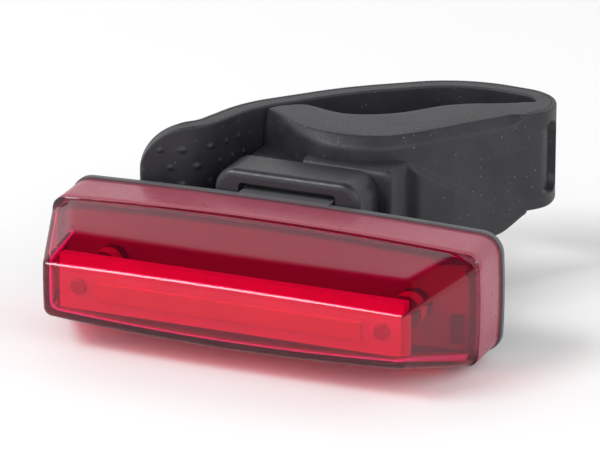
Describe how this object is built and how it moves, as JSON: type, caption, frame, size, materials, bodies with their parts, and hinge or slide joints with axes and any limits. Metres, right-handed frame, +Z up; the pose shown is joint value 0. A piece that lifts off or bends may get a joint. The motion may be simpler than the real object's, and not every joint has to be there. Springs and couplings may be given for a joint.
{
  "type": "bike rear light",
  "caption": "Long red rear lamp with a faceted clear lens on a slide-on bracket, with a slotted rubber strap that hooks round a seatpost.",
  "frame": {"origin": "middle of the bounding box's underside, on the surface that the light stands on", "axes": "+X to the lamp's right seen from the front along its long side, +Y from the lamp towards the seatpost, +Z up"},
  "size_m": [0.0766, 0.0736, 0.03],
  "materials": {
    "red_lens": "clear red moulding, polished",
    "housing": "fine matt",
    "tub": "matt grey",
    "seal": "soft",
    "screw": "plain",
    "carrier": "white",
    "lamp_board": "white solder mask",
    "phosphor": "soft gel",
    "chip": "small dies",
    "driver_board": "solder mask",
    "lead": "insulation",
    "cell": "foil pouch",
    "foam": "closed-cell foam",
    "switch": "plain",
    "button": "soft matt",
    "light_pipe": "translucent",
    "socket_shell": "pressed sheet",
    "rubber": "fine matt silicone",
    "bracket": "satin",
    "plate": "stamped"
  },
  "bodies": {
    "lamp": {"lens": "red_lens", "rear_cover": "housing", "inner_housing": "tub", "cover_seal": "seal", "cover_screws": "screw", "board_carrier": "carrier", "led_board": "lamp_board", "led_strip": "phosphor", "led_chips": "chip", "board_screws": "screw", "main_board": "driver_board", "lamp_leads": "lead", "battery": "cell", "battery_pad": "foam", "battery_leads": "lead", "switch_body": "switch", "charge_lens": "light_pipe", "usb_socket": "socket_shell"},
    "button": {"button_cap": "button", "switch_plunger": "switch"},
    "inlet_cover": {"usb_flap": "rubber"},
    "mount": {"bracket_cage": "bracket", "mount_screws": "screw", "mount_plate": "plate", "strap_pad": "rubber", "strap_hook": "bracket"},
    "strap": {"strap_band": "rubber"}
  },
  "joints": [
    {"name": "mount_slide", "type": "slide", "parent": "lamp", "child": "mount", "axis": [0, 0, 1], "range_m": [0, 0.018]},
    {"name": "strap_open", "type": "hinge", "parent": "mount", "child": "strap", "pos_m": [0.026, 0.03433, 0.0215], "axis": [0, 0, -1], "range_deg": [0, 50], "stiffness_Nm_per_rad": 0.004, "springref_deg": -5.73},
    {"name": "button_press", "type": "slide", "parent": "lamp", "child": "button", "axis": [0, -1, 0], "range_m": [0, 0.0005], "stiffness_N_per_m": 800, "springref_m": -0.001},
    {"name": "inlet_cover_swing", "type": "hinge", "parent": "lamp", "child": "inlet_cover", "pos_m": [0.0285, -0.01087, 0.0042], "axis": [-1, 0, 0], "range_deg": [0, 110], "stiffness_Nm_per_rad": 0.0002, "springref_deg": -11.46}
  ]
}
